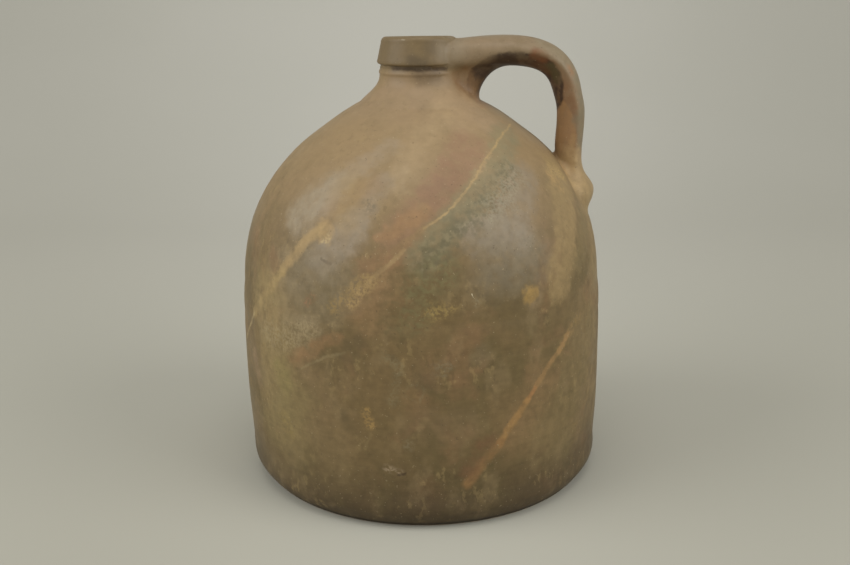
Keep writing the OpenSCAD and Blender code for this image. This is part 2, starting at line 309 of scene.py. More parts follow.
# Each run: colour, strength, reach in millimetres, softness, size of its mottling (0 for none), trail.
slip_runs_and_painted_light = [
    # On the wad, the neck and the shoulder's right
    ((137, 105, 70), 0.90, 6.5, 0.5, 0, [(24, -13, 214.5), (28, -10, 209)]),
    ((168, 140, 104), 0.90, 5.6, 0.6, 0, [(25, -16, 207.5), (29, -13, 203)]),
    ((148, 115, 80), 0.92, 5, 0.5, 0, [(31, -9, 202.5), (33, 0, 202.5)]),
    # Pinkish-beige slip on the neck's right, made lighter still to paint out the shade the handle casts
    # there.
    ((166, 141, 110), 0.70, 8, 0.7, 0, on_jug([(40, 206), (46, 199), (50, 192)])),
    # Broad clouds on the wall
    ((140, 116, 82), 0.60, 13, 0.6, 0, on_jug([(-36, 72), (-28, 46)])),
    ((130, 106, 60), 0.65, 20, 0.6, 0, on_jug([(-86, 116), (-86, 40)])),
    ((160, 141, 108), 0.50, 11, 0.7, 0, on_jug([(-47, 128), (-45, 112), (-36, 103)])),
    ((150, 128, 96), 0.55, 5, 0.7, 0, on_jug([(35, 116)])),
    ((140, 121, 90), 0.45, 5, 0.7, 0, on_jug([(17, 91)])),
    ((142, 114, 78), 0.55, 10, 0.7, 0, on_jug([(37, 70), (29, 48)])),
    ((130, 108, 78), 0.45, 9, 0.7, 0, on_jug([(0, 56), (10, 56)])),
    ((98, 84, 60), 0.40, 6, 0.8, 0, on_jug([(1, 81)])),
    ((80, 66, 46), 0.55, 12, 0.6, 0, on_jug([(-6, 6), (14, 6), (30, 6)])),
    ((150, 120, 84), 0.70, 9, 0.7, 0, on_jug([(-11, 132), (-16, 114)])),
    # Below the neck, on the right
    ((166, 140, 106), 0.65, 8, 0.7, 0, on_jug([(32, 206), (31, 188), (25, 178)])),
    # The thin greyish film on the left, with a painted reflection of the left lamp on it, and ochre beside
    # it
    ((157, 142, 117), 0.75, 10, 0.5, 0, on_jug([(-44, 156), (-38, 163), (-34, 168)])),
    ((157, 139, 114), 0.55, 6, 0.6, 0, on_jug([(-34, 168), (-23, 182), (-16, 187)])),
    ((150, 132, 107), 0.75, 6.5, 0.5, 0, on_jug([(-14, 172), (-18, 161), (-22, 152)])),
    ((149, 134, 113), 0.80, 9, 0.45, 0, on_jug([(-22, 152), (-26, 144), (-30, 137)])),
    ((138, 123, 96), 0.65, 15, 0.6, 0, on_jug([(-36, 130), (-27, 124)])),
    ((153, 132, 90), 0.75, 16, 0.6, 0, on_jug([(-54, 112), (-50, 86), (-49, 62), (-45, 46)])),
    ((132, 104, 72), 0.70, 4, 0.7, 0, on_jug([(-51, 134), (-49, 129)])),
    ((150, 125, 94), 0.60, 5.5, 0.6, 0, on_jug([(-31, 161), (-24, 166), (-18, 172)])),
    ((155, 128, 82), 0.55, 8, 0.8, 0, on_jug([(-25, 155), (-28, 168)])),
    # The thin greyish film on the right, with a painted reflection of the right lamp on it
    ((144, 128, 105), 0.80, 10, 0.4, 0, on_jug([(43, 171), (37, 163), (30, 154)])),
    ((144, 130, 108), 0.85, 9.5, 0.45, 0, on_jug([(17, 149), (32, 147)])),
    ((128, 116, 93), 0.70, 11, 0.7, 0, on_jug([(36, 134), (22, 131)])),
    # The red-brown run down the front
    ((148, 116, 88), 0.75, 8.5, 0.4, 0, on_jug([(25, 188), (14, 177), (4, 166), (-7, 150)])),
    ((138, 106, 80), 0.55, 5.5, 0.8, 0, on_jug([(12, 176), (4, 167)])),
    ((156, 122, 84), 0.70, 4, 0.6, 0, on_jug([(0, 159), (-6, 154), (-10, 150)])),
    ((143, 112, 79), 0.65, 4.5, 0.6, 0, on_jug([(-6, 142), (-11, 139), (-17, 135)])),
    # The pale run below the neck
    ((170, 145, 108), 0.50, 6, 0.7, 0, on_jug([(24, 203), (14, 198), (3, 191), (-4, 184), (-7, 177)])),
    ((165, 142, 108), 0.55, 3.6, 0.7, 0, on_jug([(-7, 177), (-8, 169)])),
    # The grey-green run beside it
    ((137, 127, 97), 0.75, 7, 0.45, 0, on_jug([(57, 189), (46, 186), (36, 180), (22, 168), (13, 159),
                                               (6, 150), (0, 139)])),
    ((108, 100, 74), 0.75, 7, 0.7, 2.8, on_jug([(37, 174), (27, 166), (18, 158), (10, 149), (4, 141)])),
    ((162, 152, 126), 0.50, 7, 0.7, 1.3, on_jug([(40, 172), (31, 164), (24, 158)])),
    ((104, 92, 61), 0.60, 7.5, 0.7, 3.6, on_jug([(1, 137), (-4, 128), (-6, 118), (-7, 111)])),
    ((128, 122, 84), 0.45, 8, 0.7, 2.2, on_jug([(6, 134), (0, 124), (-2, 113)])),
    # Ochre below the strap's foot
    ((155, 131, 90), 0.85, 10, 0.3, 0, on_jug([(69, 170), (60, 158), (54, 146), (49, 132), (46, 121)])),
    ((156, 133, 92), 0.60, 14, 0.5, 0, on_jug([(92, 160), (82, 144), (74, 120)])),
    ((132, 114, 78), 0.70, 5.5, 0.6, 0, on_jug([(69, 146), (62, 135), (57, 126)])),
    ((178, 146, 98), 0.75, 3.6, 0.6, 1.8, on_jug([(60, 168), (61, 163)])),
    ((186, 156, 104), 0.70, 4, 0.7, 1.2, on_jug([(64, 171), (70, 168)])),
    ((60, 46, 30), 0.95, 0.5, 0.4, 0, on_jug([(65, 170)])),
    ((150, 132, 96), 0.55, 3.2, 0.6, 0, on_jug([(52, 190), (31, 181), (19, 172)])),
    # The pale line between the red-brown and the grey-green run
    ((178, 150, 104), 0.85, 0.55, 0.8, 0, on_jug([(72, 192), (54, 190), (43, 187), (34, 183), (27, 179),
                                                  (17, 169), (9, 160), (1, 153)], 7)),
    ((206, 184, 144), 0.90, 0.8, 0.6, 0, on_jug([(42, 186.5), (37, 184.5)])),
    ((176, 148, 108), 0.60, 1.2, 0.7, 1.6, on_jug([(34, 183), (27, 178), (20, 172)], 7)),
    # The line goes on, broken, to the left
    ((148, 122, 84), 0.60, 1.6, 0.6, 0, on_jug([(1, 153), (-4, 148), (-8, 143)])),
    ((160, 134, 94), 0.85, 1.1, 0.6, 0, on_jug([(-5, 144), (-8, 139), (-12, 134), (-15, 128)], 7)),
    ((174, 145, 97), 0.95, 2.8, 0.6, 1.3, on_jug([(-14, 129), (-18, 123), (-20, 118)])),
    ((158, 132, 86), 0.80, 3.8, 0.6, 1.8, on_jug([(-17, 128), (-22, 121), (-25, 115)])),
    # The ochre run on the left
    ((178, 148, 100), 0.85, 3.6, 0.6, 0, on_jug([(-33, 151), (-31, 147)])),
    ((194, 170, 122), 0.80, 1.8, 0.6, 1.2, on_jug([(-30, 147.5), (-31, 145.5)])),
    ((172, 144, 98), 0.80, 2.6, 0.6, 0, on_jug([(-34, 150), (-37, 146), (-41, 138), (-46, 128)])),
    ((164, 138, 95), 0.60, 3.6, 0.6, 1.8, on_jug([(-36, 149), (-43, 135), (-50, 121)])),
    ((166, 142, 96), 0.85, 2.2, 0.7, 0, on_jug([(-46, 128), (-50, 120), (-57, 108), (-62, 100)], 7)),
    ((172, 152, 112), 0.75, 1.2, 0.6, 1.4, on_jug([(-48, 122), (-51, 119)])),
    ((168, 147, 106), 0.75, 0.8, 0.6, 0, on_jug([(-62, 100), (-67, 91), (-74, 80)], 7)),
    # Spots and scratches round the middle
    ((168, 136, 80), 0.95, 4.6, 0.4, 0, on_jug([(33, 119)])),
    ((160, 136, 84), 0.90, 4.0, 0.6, 1.4, on_jug([(3, 115), (8, 115)])),
    # A pale fleck with a painted glint on it.
    ((215, 200, 165), 0.90, 0.35, 0.4, 0, on_jug([(14.8, 122.3), (15.4, 120.2)])),
    ((150, 138, 108), 0.50, 2.0, 0.6, 1.2, on_jug([(16, 118)])),
    ((158, 118, 86), 0.65, 2.0, 0.7, 1.6, on_jug([(-33, 118.5), (-35, 115)])),
    ((100, 86, 66), 0.60, 0.8, 0.7, 0, on_jug([(-31, 137), (-28, 135.5)])),
    ((114, 103, 82), 0.60, 3.4, 0.6, 1.6, on_jug([(-17, 162)])),
    ((160, 142, 106), 0.75, 6.5, 0.7, 1.4, on_jug([(-52, 94), (-42, 96), (-34, 100)])),
    ((146, 114, 78), 0.75, 3.2, 0.7, 0, on_jug([(-40, 86), (-32, 92), (-25, 99)])),
    ((146, 128, 92), 0.60, 0.7, 0.7, 0, on_jug([(-22, 93), (-29, 89), (-37, 81)], 7)),
    ((96, 83, 58), 0.45, 5, 0.8, 0, on_jug([(-19, 98), (-22, 92)])),
    ((142, 128, 80), 0.60, 5, 0.7, 0, on_jug([(-46, 79), (-43, 70)])),
    ((164, 140, 84), 0.90, 4.2, 0.6, 1.8, on_jug([(-46, 50), (-44, 43)])),
    ((172, 154, 108), 0.60, 1.6, 0.6, 1.2, on_jug([(-43, 46)])),
    ((134, 118, 77), 0.50, 13, 0.6, 0, on_jug([(-40, 64), (-50, 44)])),
    ((150, 124, 92), 0.60, 3.4, 0.6, 0, on_jug([(-64, 76), (-61, 62)])),
    ((160, 130, 80), 0.90, 2.6, 0.6, 1.3, on_jug([(-16, 64), (-15, 57)])),
    ((136, 116, 78), 0.55, 0.8, 0.6, 0, on_jug([(-15, 52), (-17, 44)])),
    ((96, 82, 55), 0.55, 2.2, 0.8, 0, on_jug([(-23, 62), (-22, 54)])),
    ((132, 106, 74), 0.50, 7, 0.7, 0, on_jug([(12, 50)])),
    # The ochre run low on the right
    ((138, 118, 80), 0.50, 17, 0.6, 0, on_jug([(60, 88), (52, 62), (44, 40)])),
    ((148, 122, 78), 0.75, 2.8, 0.7, 1.8, on_jug([(55, 99), (49, 92), (45, 86)], 9)),
    ((160, 126, 82), 0.90, 1.6, 0.6, 0, on_jug([(49, 92), (45, 86), (41, 81), (38, 76), (35, 70)], 7)),
    ((166, 122, 78), 0.95, 1.2, 0.6, 0, on_jug([(35, 70), (32, 64)])),
    ((168, 130, 80), 0.90, 2.0, 0.6, 0, on_jug([(32, 64), (29, 58), (25, 50), (23, 45)], 7)),
    ((148, 113, 72), 0.80, 2.6, 0.6, 0, on_jug([(23, 45), (17, 34), (13, 25)], 7)),
    ((122, 90, 62), 0.65, 4.2, 0.7, 0, on_jug([(19, 46), (13, 32)])),
    # The chip near the foot, and small marks
    ((156, 136, 108), 0.90, 1.7, 0.8, 1.5, on_jug([(-10.5, 34.5), (-7, 32.5)])),
    # Painted shade under the chip's lower edge.
    ((66, 52, 36), 0.75, 0.7, 0.8, 0, on_jug([(-7.4, 30.8), (-5.2, 31.6)])),
    # Painted highlights at the chip's edges.
    ((212, 198, 158), 0.95, 0.7, 0.5, 0, on_jug([(-11.3, 36)])),
    ((200, 185, 150), 0.80, 0.5, 0.4, 0, on_jug([(-13, 29.5)])),
    ((140, 130, 104), 0.60, 4.2, 0.6, 1.5, on_jug([(6, 87)])),
    ((132, 119, 88), 0.60, 2.4, 0.7, 1.3, on_jug([(-10, 93), (-6, 88), (-7, 81), (-8, 70)], 7)),
    ((134, 120, 88), 0.50, 0.7, 0.7, 1.6, on_jug([(-5, 75), (-2, 80), (1, 76), (-1, 70), (-5, 73)])),
    ((146, 124, 86), 0.55, 1.6, 0.6, 0, on_jug([(1, 61), (-1, 56)])),
    ((138, 123, 94), 0.60, 2.8, 0.6, 1.2, on_jug([(-4, 47)])),
    ((124, 106, 71), 0.50, 18, 0.6, 0, on_jug([(-52, 32), (-30, 38)])),
    # The neck and the collar
    ((156, 131, 92), 0.50, 5, 0.6, 0, on_jug([(-60, 217), (-70, 213)])),
    ((114, 95, 72), 0.75, 4.5, 0.8, 0, on_jug([(4, 218), (20, 218)])),
    # A painted shadow in the undercut below the collar.
    ((66, 49, 35), 0.80, 1.1, 0.7, 0, on_jug([(-40, 221.2), (-20, 221.2), (0, 221.2), (20, 221.2),
                                              (40, 221.2)])),
    ((142, 126, 101), 0.85, 6, 0.7, 0, on_jug([(46, 229), (60, 229)])),
    ((88, 76, 60), 0.55, 3.6, 0.7, 0, on_jug([(-8, 225), (3, 224)])),
    ((92, 80, 63), 0.25, 3.6, 0.7, 0, on_jug([(14, 231)])),
    # A painted highlight along the crest of the near lip.
    ((170, 158, 132), 0.70, 0.3, 0.5, 0, on_jug([(-33, 234.4), (-21, 234.6)])),
    # A painted glint on the rim.
    ((245, 240, 225), 0.90, 0.6, 0.4, 0, [(-5, -17.6, 236.6)]),
    # The back and the sides
    ((142, 131, 118), 0.70, 16, 0.5, 0, on_jug([(196, 148), (212, 156)])),
    ((150, 117, 88), 0.70, 8.5, 0.5, 0, on_jug([(165, 188), (180, 168), (198, 146)])),
    ((174, 145, 97), 0.85, 1.0, 0.7, 0, on_jug([(150, 186), (164, 168), (178, 146), (188, 124)], 8)),
    ((166, 138, 90), 0.70, 3.6, 0.6, 1.8, on_jug([(188, 124), (192, 116)])),
    ((106, 101, 76), 0.70, 11, 0.6, 3.2, on_jug([(135, 172), (150, 150)])),
    ((154, 130, 88), 0.65, 13, 0.5, 0, on_jug([(118, 150), (128, 118)])),
    ((152, 123, 82), 0.70, 2.2, 0.6, 0, on_jug([(232, 110), (218, 84), (208, 60)], 9)),
    ((148, 127, 80), 0.65, 5, 0.6, 2.0, on_jug([(160, 62), (166, 56)])),
    ((118, 108, 72), 0.50, 18, 0.6, 0, on_jug([(240, 50), (214, 36)])),
    ((146, 134, 118), 0.60, 11, 0.5, 0, on_jug([(262, 150), (272, 140)])),
]


def slip_finish_with_painted_light(name, pieces, runs=slip_runs_and_painted_light):
    """The satin brown slip: a clouded ground with painted light up the shoulder and painted shade at the
    foot, runs of slip over it along with painted shade, highlights and reflections, specks, pits and
    throwing lines.
    """
    finish = bpy.data.materials.new(name)
    finish.use_nodes = True
    tree = finish.node_tree
    shader = tree.nodes["Principled BSDF"]
    shader.inputs["Specular IOR Level"].default_value = 0.3
    covered = np.vstack([places(piece)[::7] for piece in pieces])
    jug = laid(tree, "TexCoord", {}).node.outputs["Object"]
    place = shifted(tree, "SCALE", jug)
    place.node.inputs[3].default_value = 1000
    wide = shifted(tree, "SUBTRACT", cloud(tree, place, 24, colour=True), (0.5, 0.5, 0.5))
    fine = shifted(tree, "SUBTRACT", cloud(tree, place, 5, 5, colour=True), (0.5, 0.5, 0.5))
    hair = shifted(tree, "SUBTRACT", cloud(tree, place, 1.5, 2, colour=True), (0.5, 0.5, 0.5))
    loose = shifted(tree, "MULTIPLY_ADD", wide, (10, 10, 10), place)
    loose = shifted(tree, "MULTIPLY_ADD", fine, (9, 9, 9), loose)
    close = shifted(tree, "MULTIPLY_ADD", fine, (2.4, 2.4, 2.4), place)
    close = shifted(tree, "MULTIPLY_ADD", hair, (1.2, 1.2, 1.2), close)
    worn = between(tree, cloud(tree, place, 6, 6), 0.34, 0.60, 0.55, 1.0)
    height = laid(tree, "SeparateXYZ", {0: place}).node.outputs[2]
    clouds = between(tree, cloud(tree, loose, 42), 0.4, 0.62)
    ground = over(tree, fired((122, 101, 67)), fired((113, 95, 62)), clouds)
    clouds = between(tree, cloud(tree, loose, 30, 3), 0.52, 0.7)
    ground = over(tree, ground, fired((131, 104, 71)), clouds)
    # Lighter up the shoulder and towards the neck: partly the slip's own tone, partly painted light from
    # above.
    ground = over(tree, ground, fired((150, 126, 91)), between(tree, height, 120, 185))
    ground = over(tree, ground, fired((152, 128, 98)), between(tree, height, 190, 206, 0.0, 0.7))
    ground = over(tree, ground, fired((121, 102, 72)), between(tree, height, 218, 222))
    # Darker towards the foot: partly the slip's own tone, partly painted shade near the shelf.
    ground = over(tree, ground, fired((80, 66, 45)), between(tree, height, 48, 4, 0.0, 0.9))
    upright = shifted(tree, "MULTIPLY", close, (1.0, 1.0, 0.6))
    lively = between(tree, height, 195, 125, 0.5, 1.2)
    most = worked_out(tree, "MULTIPLY", lively, 0.26)
    some = worked_out(tree, "MULTIPLY", most, between(tree, cloud(tree, place, 26, 1), 0.46, 0.6))
    for colour, moved, size, detail, low, high, show in (
            ((104, 92, 58), (0, 0, 0), 17, 6, 0.48, 0.66, most),
            ((150, 128, 92), (9, 60, 21), 12, 6, 0.50, 0.68, most),
            ((166, 142, 96), (31, 5, 77), 4.5, 5, 0.56, 0.64, some),
            ((88, 74, 48), (3, 45, 17), 3.6, 5, 0.56, 0.64, some)):
        patches = cloud(tree, shifted(tree, "ADD", upright, moved), size, detail)
        ground = over(tree, ground, fired(colour), between(tree, patches, low, high, 0.0, show))
    for colour, strength, reach, soft, mottle, trail in runs:
        spread = reach * (1 + soft) + (8 if reach > 3 else 2)
        ends = zip(trail, trail[1:] or trail)
        along = np.vstack([np.linspace(a, b, 8) for a, b in ends])
        if min(np.sum((covered - spot) ** 2, axis=1).min() for spot in along) > spread ** 2:
            continue
        ragged = reach > 3 and soft > 0.1 and trail[0][2] < 218
        show = run_along_trail(tree, loose if ragged else close, trail, reach, soft)
        if mottle:
            broken = between(tree, cloud(tree, place, mottle, 2), 0.36, 0.62)
            show = worked_out(tree, "MULTIPLY", show, broken)
        show = worked_out(tree, "MULTIPLY", show, worn)
        ground = over(tree, ground, fired(colour), worked_out(tree, "MULTIPLY", show, strength))
    # The foot's dark edge: partly its own bare dark edge, partly painted shade where it meets the shelf.
    ground = over(tree, ground, fired((44, 37, 27)), between(tree, height, 3.6, 1.0, 0.0, 0.85))
    if name == "wall_slip":
        wire = cloud(tree, shifted(tree, "MULTIPLY", close, (0.04, 1.0, 1.0)), 2.2, 3)
        clay = over(tree, fired((152, 129, 98)), fired((122, 101, 76)), between(tree, wire, 0.42, 0.58))
        ground = over(tree, ground, clay, between(tree, height, 0.7, 0.3))
    streaked = shifted(tree, "MULTIPLY", place, (0.05, 0.05, 1.0))
    lines = cloud(tree, streaked, 1.6, 3)
    lined = between(tree, height, 150, 90, 0.05, 0.22)
    specks = between(tree, cloud(tree, place, 1.3, 2), 0.66, 0.76)
    pale = between(tree, cloud(tree, shifted(tree, "ADD", place, (40, 7, 3)), 1.1, 1), 0.70, 0.8)
    grain = cloud(tree, place, 4, 6)
    ground = over(tree, ground, fired((84, 70, 50)), worked_out(tree, "MULTIPLY", specks, 0.5))
    ground = over(tree, ground, fired((176, 158, 124)), worked_out(tree, "MULTIPLY", pale, 0.55))
    tone = worked_out(tree, "MULTIPLY", worked_out(tree, "SUBTRACT", lines, 0.5), lined)
    rough = worked_out(tree, "MULTIPLY", worked_out(tree, "SUBTRACT", grain, 0.5), lively)
    tone = worked_out(tree, "MULTIPLY_ADD", rough, 0.48, tone)
    tone = worked_out(tree, "ADD", tone, 1.0)
    toned = laid(tree, "VectorMath", {0: ground, 1: tone}, operation="MULTIPLY")
    tree.links.new(toned, shader.inputs["Base Color"])
    satin = between(tree, cloud(tree, loose, 26, 4), 0.35, 0.65, 0.42, 0.56)
    tree.links.new(satin, shader.inputs["Roughness"])
    relief = worked_out(tree, "MULTIPLY", lines, worked_out(tree, "MULTIPLY", lined, 0.12))
    relief = worked_out(tree, "MULTIPLY_ADD", grain, 0.08, relief)
    relief = worked_out(tree, "MULTIPLY_ADD", specks, -0.05, relief)
    bumps = laid(tree, "Bump", {"Height": relief, "Distance": 0.001, "Strength": 1.0})
    tree.links.new(bumps, shader.inputs["Normal"])
    return finish


def dressed(piece, node, finish):
    """Gives a finished piece its finish, smooth faces and its place in the frame."""
    bpy.ops.object.select_all(action="DESELECT")
    piece.select_set(True)
    bpy.context.view_layer.objects.active = piece
    bpy.ops.object.shade_smooth_by_angle(angle=math.radians(35))
    piece.data.materials.clear()
    piece.data.materials.append(finish)
    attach(piece, "root")
    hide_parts(node)


dressed(lower, "lower_section", slip_finish_with_painted_light("wall_slip", [lower]))


# Shoulder section
# The domed shoulder, the neck and the spigot for the collar, thrown in one and lowered onto the lap.
# A tooled ridge and a groove run round the neck below the collar.
bore_r = 13.5
spigot_r = 17.5
collar_z = 221.0
rim_z = 236.0
mouth_round = 3.5
dome = curve_through([(97.2, 118), (95.17, 147), (73.186, 182.61), (32.2, 202.6)], 56)
dome[:, 0] -= 1.0 * bump(dome[:, 1], 190, 7)
neck = curve_through([(32.2, 202.6), (28.8, 206.2), (21.3, 210.4), (21.2, 216.6)], 18)
inner_dome = dome + wall * np.stack([np.gradient(dome[:, 1]), -np.gradient(dome[:, 0])], 1) * (
    -1 / np.hypot(np.gradient(dome[:, 0]), np.gradient(dome[:, 1])))[:, None]
throat_start = inner_dome[-1]
throat_in = throat_start[0] - bore_r
throat_z = throat_start[1] + throat_in / 2
throat = curve_through([throat_start,
                        (throat_start[0] - 0.449 * throat_in, throat_start[1] + 0.219 * throat_in),
                        (bore_r, (throat_z + throat_start[1]) / 2), (bore_r, throat_z)], 8)
neck_top = [(21.15, 217.2), (21.4, 217.8), (21.5, 218.4), (21.4, 219.0), (21.05, 219.7), (20.8, 220.4),
            (20.8, collar_z)]
mouth = [(bore_r + mouth_round + mouth_round * math.cos(math.radians(a)),
          rim_z - mouth_round + mouth_round * math.sin(math.radians(a))) for a in range(90, 181, 15)]
bore = [(bore_r, z) for z in (230, 226, 222, 218, 214, 210, 207)]
upper_wall = [(r - wall, z) for r, z in wall_line(lap_top, wall_top)][:-1]
shoulder = thrown("shoulder_section_thrown",
                  [(lap_r, seam_z)] + list(wall_line(seam_z, wall_top)) + list(dome[1:]) + list(neck[1:])
                  + neck_top + [(spigot_r, collar_z), (spigot_r, rim_z)] + mouth + bore + list(throat[::-1])
                  + list(inner_dome[::-1][1:]) + upper_wall[::-1] + [(lap_r, lap_top), (lap_r, seam_z)])
move_to(shoulder, from_the_wheel(places(shoulder)))
dressed(shoulder, "shoulder_section", slip_finish_with_painted_light("shoulder_slip", [shoulder]))


# Collar
# A ring of the same clay, pressed round the spigot and tooled on the wheel: tapered outside, round on
# top, and undercut where it meets the neck.
collar_line = [(20.6, collar_z), (20.6, 222.6)]
collar_line += [(21.2 + 1.2 * math.cos(math.radians(a)), 223.8 + 1.2 * math.sin(math.radians(a)))
                for a in range(-90, 1, 15)]
collar_line += [(22.4 - 2.2 * k / 5, 223.8 + 9.2 * k / 5) for k in range(1, 5)]
collar_line += [(spigot_r + 2.7 * math.cos(math.radians(a)), rim_z - 3 + 3 * math.sin(math.radians(a)))
                for a in range(0, 91, 10)]
collar = thrown("lip_collar_ring", [(spigot_r, collar_z)] + collar_line
                + [(spigot_r, 228.5), (spigot_r, collar_z)])
move_to(collar, from_the_wheel(places(collar)))
dressed(collar, "lip_collar", slip_finish_with_painted_light("collar_slip", [collar]))


# Handle
# A strap pulled from a lump of wet clay, thicker inside its edges than outside them. Its root is
# luted to the collar and backed by a wad, and its end is pressed onto a pad on the shoulder.
strap_rings = 100
root_rings = 4
strap_sides = 44
strap_half = 14.0
strap_thick = 16.3
above_crest, below_crest = 0.3, 0.7
wad_x = 49.2


def shoulder_at(z):
    """The shoulder's outer radius at a height."""
    return float(np.interp(z, dome[:, 1], dome[:, 0]))


arch_crest = [(17.5, 229.6), (65.6, 236.4), (83.2, 230), (83.2, 191.2)]
leg_crest = [(83.2, 191.2), (83.2, 177.2), (shoulder_at(166.5) + 1.8, 166.5),
             (shoulder_at(145.2) + 0.6, 145.2)]
root_crest = [(8, 228.3), (10.4, 228.6), (12.8, 228.95), (15.2, 229.3)]
crest = np.vstack([root_crest, curve_through(arch_crest, 48), curve_through(leg_crest, 48)[1:]])
bpy.ops.object.select_all(action="DESELECT")
bpy.ops.mesh.primitive_circle_add(vertices=strap_sides, radius=mm, location=(0, 0, 0),
                                  rotation=(0, math.pi / 2, 0), fill_type="NGON")
strap = bpy.context.object
strap.name = "handle_strap_pulled"
bpy.ops.object.transform_apply(location=True, rotation=True, scale=True)
bpy.ops.object.mode_set(mode="EDIT")
bpy.ops.mesh.select_all(action="SELECT")
for ring in range(strap_rings):
    bpy.ops.mesh.extrude_region_move(TRANSFORM_OT_translate={"value": (mm, 0, 0)})
bpy.ops.object.mode_set(mode="OBJECT")
straight = places(strap)
ring = np.clip(np.rint(straight[:, 0]).astype(int), 0, strap_rings)
run = np.gradient(crest, axis=0)
run /= np.hypot(run[:, 0], run[:, 1])[:, None]
way_along = np.clip((ring - root_rings) / 48, 0, 2)
arch = np.minimum(1, way_along)
leg = np.maximum(0, way_along - 1)
tip = np.sqrt(1 - (0.96 * np.maximum(0, leg - 0.83) / 0.17) ** 2)
pressed = np.where(leg > 0, 3.8 * np.exp(-((leg - 0.885) / 0.185) ** 2), 0)
root_flare = 2.8 * np.exp(-((np.maximum(crest[ring, 0], 12) - 12) / 12) ** 2) * (arch < 1)
wide = strap_half - 1.5 * arch + root_flare
wide = wide * tip * (1 + 0.2 * np.exp(-((leg - 0.75) / 0.2) ** 2))
thick = (strap_thick - 1.7 * arch) * tip
outer, inner = thick * above_crest + pressed * tip, thick * below_crest
edge_share = np.interp(way_along, [0, 0.2, 0.45, 0.8, 1, 1.5, 2],
                       [0.56, 0.49, 0.42, 0.38, 0.35, 0.33, 0.30])
edge_lift = outer - edge_share * (outer + inner)
flat_top = np.interp(way_along, [0, 0.25, 1, 2], [0.75, 1.15, 1.2, 1.2])
flat_below = np.interp(way_along, [0, 0.25, 0.5, 2], [0.8, 1.4, 1.7, 1.4])
boxy = np.interp(way_along, [0, 0.25, 0.5], [0.65, 0.9, 1.0])
turned = np.arctan2(straight[:, 2], straight[:, 1])
up, out = np.abs(np.sin(turned)), np.abs(np.cos(turned))
lift = np.where(np.sin(turned) > 0, edge_lift + (outer - edge_lift) * up ** flat_top,
                edge_lift - (inner + edge_lift) * up ** flat_below)
side = np.sign(np.cos(turned)) * wide * out ** boxy
pulled = np.stack([crest[ring, 0] - run[ring, 1] * lift, side, crest[ring, 1] + run[ring, 0] * lift], 1)
move_to(strap, pulled)

wad_top = float(np.interp(49.5, crest[:44, 0], crest[:44, 1])) - strap_thick * below_crest
wad_middle = wad_top - 16.9
wad_edge = [(wad_x, 7.5 * math.sin(math.radians(a)), wad_middle + 26.3 + 9 * math.cos(math.radians(a)))
            for a in range(90, 271, 15)]
wad_edge += [(wad_x, -10, wad_middle + 36), (wad_x, 10, wad_middle + 36)]
wad = thrown("upper_luting_wad_pressed", wad_edge + wad_edge[:1], sweep=100, steps=24,
             centre=(wad_x, 0, wad_middle), axis=(0, 1, 0))
bpy.ops.object.mode_set(mode="EDIT")
bpy.ops.mesh.select_all(action="SELECT")
bpy.ops.mesh.bisect(plane_co=(0, 0, (wad_top + 7.5) * mm), plane_no=(0, 0, 1), clear_outer=True,
                    use_fill=True)
bpy.ops.object.mode_set(mode="OBJECT")


def grown_line(line, by):
    """An outline moved outwards by a distance."""
    line = np.array(line, float)
    step = np.gradient(line, axis=0)
    return line + by * np.stack([step[:, 1], -step[:, 0]], 1) / np.hypot(step[:, 0], step[:, 1])[:, None]


def turned_to_handle(piece, sweep):
    """Turns a part-turned lump so that its middle faces the handle."""
    bpy.ops.object.select_all(action="DESELECT")
    piece.select_set(True)
    bpy.context.view_layer.objects.active = piece
    piece.rotation_euler = (0, 0, math.radians(sweep / 2))
    bpy.ops.object.transform_apply(location=False, rotation=True, scale=False)


def joined(piece, other, how):
    """Joins, cuts or keeps what two pieces share."""
    bpy.ops.object.select_all(action="DESELECT")
    bpy.context.view_layer.objects.active = piece
    tool = piece.modifiers.new("cut", "BOOLEAN")
    tool.operation = how
    tool.solver = "MANIFOLD"
    tool.object = other
    bpy.ops.object.modifier_apply(modifier=tool.name)
    return piece


def copied(piece, name):
    """A copy of a piece with a mesh of its own."""
    other = piece.copy()
    other.data = piece.data.copy()
    other.name = name
    bpy.context.scene.collection.objects.link(other)
    return other


skin = np.vstack([dome, neck[1:], neck_top[:-1], collar_line])
low_skin = [p for p in dome if 130 < p[1] < 188]
high_skin = [p for p in skin if p[1] > 192]
low_lump = thrown("shoulder_lump", low_skin + [(50, 180), (80, 134)] + low_skin[:1], sweep=70, steps=70)
turned_to_handle(low_lump, 70)
high_lump = thrown("neck_lump", high_skin + [(15, rim_z), (15, 206), (46, 190)] + high_skin[:1],
                   sweep=150, steps=110)
turned_to_handle(high_lump, 150)
core = np.vstack([pulled, places(wad)])
bpy.ops.object.select_all(action="DESELECT")
bpy.ops.mesh.primitive_uv_sphere_add(segments=48, ring_count=32, radius=mm,
                                     location=(84.4 * mm, 0, 155 * mm),
                                     rotation=(0, math.radians(-31), 0))
apron = bpy.context.object
apron.scale = (6, 21, 12)
bpy.ops.object.transform_apply(location=True, rotation=True, scale=True)
bpy.ops.object.select_all(action="DESELECT")
for lump in (strap, wad, low_lump, high_lump, apron):
    lump.select_set(True)
bpy.context.view_layer.objects.active = strap
bpy.ops.object.join()
blend = strap


def finished(piece, kind, **values):
    """Adds one modifier to a piece and applies it."""
    bpy.ops.object.select_all(action="DESELECT")
    piece.select_set(True)
    bpy.context.view_layer.objects.active = piece
    step = piece.modifiers.new(kind.lower(), kind)
    for name, value in values.items():
        setattr(step, name, value)
    bpy.ops.object.modifier_apply(modifier=step.name)


def gap_to(co, points):
    """How far each place is from the nearest of some points."""
    tree = kdtree.KDTree(len(points))
    for i, p in enumerate(points):
        tree.insert(p, i)
    tree.balance()
    return np.array([tree.find(p)[2] for p in co])


